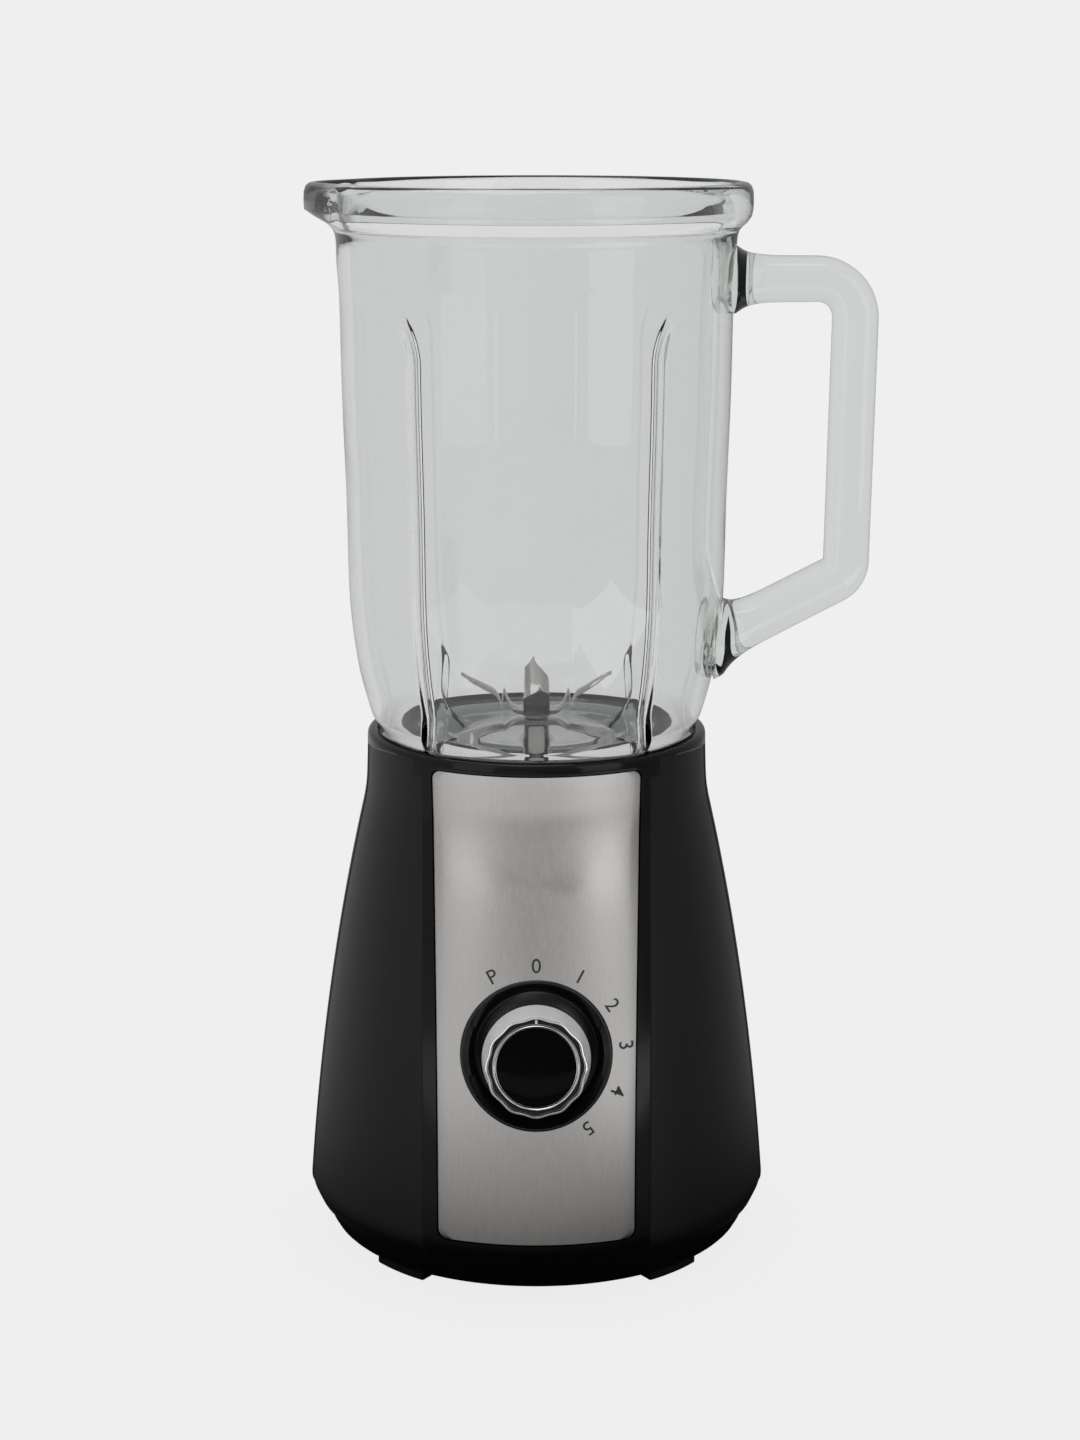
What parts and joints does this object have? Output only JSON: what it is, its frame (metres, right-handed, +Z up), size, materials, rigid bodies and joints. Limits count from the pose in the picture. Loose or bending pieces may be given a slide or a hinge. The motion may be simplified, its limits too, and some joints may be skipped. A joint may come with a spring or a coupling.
{
  "type": "countertop blender",
  "caption": "Countertop blender: clear glass jug with spout and D handle over a six-wing blade, on a black motor base with a brushed steel front and a rotary speed knob.",
  "frame": {"origin": "centre of the bounding box, on the plane that the feet stand on", "axes": "+Z up along the drive axis, the dial faces -Y, the jug handle points to +X"},
  "size_m": [0.1954, 0.1752, 0.3675],
  "materials": {
    "black_plastic": "moulded black ABS, satin side faces with a glossy centre spine and collar ring",
    "coupling_plastic": "glass-filled black nylon, moulded",
    "brushed_steel_panel": "vertically brushed stainless sheet, clear lacquered",
    "gloss_black": "high-gloss black ABS",
    "satin_black": "satin black ABS face ring",
    "chrome_trim": "bright chrome plating on plastic",
    "black_rubber": "moulded black rubber",
    "zinc_screws": "zinc-plated steel",
    "cast_aluminium": "die-cast aluminium",
    "bronze": "sintered bronze and pressed brass",
    "lamination_steel": "stacked electrical steel sheet",
    "winding_enamel": "enamelled copper wire, varnished",
    "copper_bars": "turned copper segments",
    "carbon": "pressed carbon",
    "phenolic": "brown moulded phenolic",
    "shaft_steel": "ground steel",
    "clear_glass": "clear pressed glass with a faint green tint in thick sections",
    "blade_steel": "stamped and polished stainless steel",
    "silicone": "translucent silicone"
  },
  "bodies": {
    "base": {"base_housing": "black_plastic", "front_panel": "brushed_steel_panel", "dial_bezel": "gloss_black", "bottom_cover": "black_plastic", "foot_front_right": "black_rubber", "foot_rear_right": "black_rubber", "foot_rear_left": "black_rubber", "foot_front_left": "black_rubber", "cover_screw_1": "zinc_screws", "cover_screw_2": "zinc_screws", "cover_screw_3": "zinc_screws", "cover_screw_4": "zinc_screws", "cord_inlet": "black_rubber", "motor_damper_1": "black_rubber", "motor_damper_2": "black_rubber", "motor_damper_3": "black_rubber", "motor_damper_4": "black_rubber", "motor_screw_1": "zinc_screws", "motor_screw_2": "zinc_screws", "motor_screw_3": "zinc_screws", "motor_screw_4": "zinc_screws", "motor_bracket_upper": "cast_aluminium", "motor_bracket_lower": "cast_aluminium", "bearing_upper": "bronze", "bearing_lower": "bronze", "stator_core": "lamination_steel", "field_coil_right": "winding_enamel", "field_coil_left": "winding_enamel", "brush_holder_front": "bronze", "brush_holder_rear": "bronze", "carbon_brush_front": "carbon", "carbon_brush_rear": "carbon", "switch_body": "phenolic", "switch_nut": "zinc_screws", "jug_seat": "black_rubber"},
    "rotor": {"rotor_shaft": "shaft_steel", "armature_core": "lamination_steel", "armature_winding_upper": "winding_enamel", "armature_winding_lower": "winding_enamel", "commutator": "copper_bars", "cooling_fan": "coupling_plastic", "drive_coupling": "coupling_plastic"},
    "jug": {"glass_jug": "clear_glass", "blade_bearing_housing": "blade_steel", "blade_bearing_bush": "bronze", "gasket_upper": "silicone", "gasket_lower": "silicone", "hub_lock_nut": "shaft_steel"},
    "blade": {"blade_shaft": "shaft_steel", "blade_upper": "blade_steel", "blade_lower": "blade_steel", "blade_spacer": "blade_steel", "blade_cap_nut": "blade_steel", "jug_coupling": "coupling_plastic"},
    "knob": {"knob_body": "chrome_trim", "knob_face": "satin_black", "knob_pointer": "chrome_trim", "knob_ring": "chrome_trim", "knob_cap": "gloss_black", "switch_spindle": "shaft_steel"}
  },
  "joints": [
    {"name": "rotor_spin", "type": "hinge", "parent": "base", "child": "rotor", "pos_m": [-0.01725, 0.00725, 0.0984], "axis": [0, 0, 1], "continuous": true},
    {"name": "jug_lift", "type": "slide", "parent": "base", "child": "jug", "axis": [0, 0, 1], "range_m": [0, 0.1]},
    {"name": "blade_spin", "type": "hinge", "parent": "jug", "child": "blade", "pos_m": [-0.01725, 0.00725, 0.1845], "axis": [0, 0, 1], "continuous": true},
    {"name": "knob_turn", "type": "hinge", "parent": "base", "child": "knob", "pos_m": [-0.01725, -0.06663, 0.087], "axis": [0, 0.9903, -0.1392], "range_deg": [-30, 150]}
  ],
  "couplings": [
    {"joint": "blade_spin", "follows": "rotor_spin", "ratio": 1}
  ]
}
